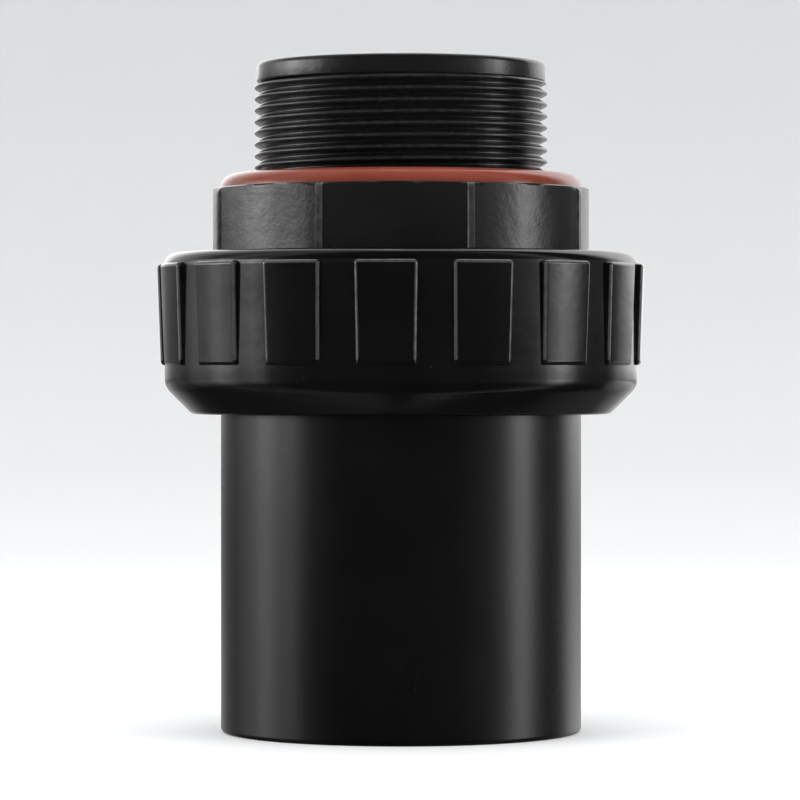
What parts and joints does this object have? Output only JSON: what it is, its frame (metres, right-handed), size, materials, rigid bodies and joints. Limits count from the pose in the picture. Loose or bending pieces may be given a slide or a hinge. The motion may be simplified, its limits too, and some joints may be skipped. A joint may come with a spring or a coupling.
{
  "type": "pipe union",
  "caption": "Threaded pipe union: a socket tail held by a ribbed union nut to an end that has an eight-sided collar, a male pipe thread and a face seal.",
  "frame": {"origin": "on the axis, in the plane of the tail's open end, which is the face it stands on", "axes": "+Z along the pipe axis, from the socket tail towards the male thread; -Y is the front"},
  "size_m": [0.0988, 0.0988, 0.1354],
  "materials": {
    "nut_plastic": "moulded, glossy black",
    "end_plastic": "moulded, satin black",
    "tail_plastic": "moulded, satin black",
    "collar_seal_rubber": "moulded, terracotta red silicone rubber",
    "face_seal_rubber": "moulded black rubber"
  },
  "bodies": {
    "tail": {"tail": "tail_plastic"},
    "nut": {"union_nut": "nut_plastic"},
    "threaded_end": {"threaded_end": "end_plastic", "collar_seal": "collar_seal_rubber", "face_seal": "face_seal_rubber"}
  },
  "joints": [
    {"name": "nut_turn", "type": "hinge", "parent": "tail", "child": "nut", "pos_m": [0, 0, 0.0805], "axis": [0, 0, -1], "range_deg": [0, 2700]},
    {"name": "end_lift", "type": "slide", "parent": "tail", "child": "threaded_end", "axis": [0, 0, 1], "range_m": [0, 0.01732]}
  ],
  "couplings": [
    {"joint": "end_lift", "follows": "nut_turn", "m_per_rad": 0.0003675}
  ]
}
